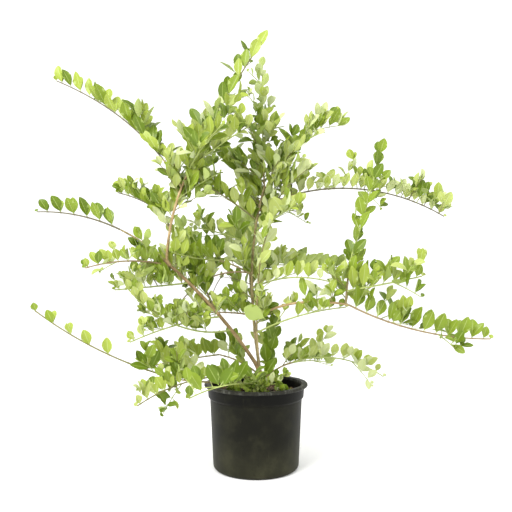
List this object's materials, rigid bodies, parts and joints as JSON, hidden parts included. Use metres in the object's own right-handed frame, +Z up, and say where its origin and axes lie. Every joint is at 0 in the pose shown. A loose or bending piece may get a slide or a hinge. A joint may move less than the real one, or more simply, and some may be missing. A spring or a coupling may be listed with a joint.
{
  "type": "potted shrub",
  "caption": "Loose evergreen seaside clerodendrum with long arching leafy shoots from a short trunk, in a round black nursery pot with a rolled lip.",
  "frame": {"origin": "centre of the pot's flat underside, where it stands on the ground", "axes": "+Z up through the pot's middle, +X to the right of the plant as it is shown, +Y to its back"},
  "size_m": [1.2325, 0.7606, 1.2677],
  "materials": {
    "pot": "satin black moulded plastic with dust and scuffs",
    "soil": "coarse bark potting mix",
    "bark": "tan bark with raised leaf scars",
    "foliage": "satin leaves, paler underneath"
  },
  "bodies": {
    "root": {"pot": "pot", "soil": "soil", "trunk": "bark", "left_bough": "bark", "left_riser": "bark", "centre_stem": "bark", "second_stem": "bark", "right_bough": "bark", "right_upright_bough": "bark", "upper_right_bough": "bark", "top_right_bough": "bark", "centre_top_bough": "bark", "top_left_bough": "bark", "left_branch_bough": "bark", "low_right_bough": "bark", "left_low_bough": "bark", "back_bough": "bark", "back_left_bough": "bark", "back_right_bough": "bark", "back_low_bough": "bark", "front_bough": "bark", "leader": "foliage", "top_left_arch": "foliage", "left_branch": "foliage", "left_side": "foliage", "left_tuft": "foliage", "left_low_long": "foliage", "left_low_short": "foliage", "front_left_low": "foliage", "left_mid_low": "foliage", "left_mid_high": "foliage", "left_mid_riser": "foliage", "centre_left": "foliage", "right_spray": "foliage", "right_upright": "foliage", "right_upright_side": "foliage", "right_upper": "foliage", "right_top": "foliage", "centre_top": "foliage", "mid_right": "foliage", "low_right": "foliage", "under_right": "foliage", "second_top": "foliage", "green_riser": "foliage", "small_right": "foliage", "back_high": "foliage", "back_mid": "foliage", "back_left": "foliage", "back_right": "foliage", "back_low": "foliage", "back_low_right": "foliage", "front_centre": "foliage", "front_upper": "foliage", "front_high": "foliage", "back_top": "foliage", "back_left_high": "foliage", "left_inner": "foliage", "right_inner": "foliage", "foot_spray": "foliage", "left_inner_high": "foliage"}
  },
  "joints": []
}
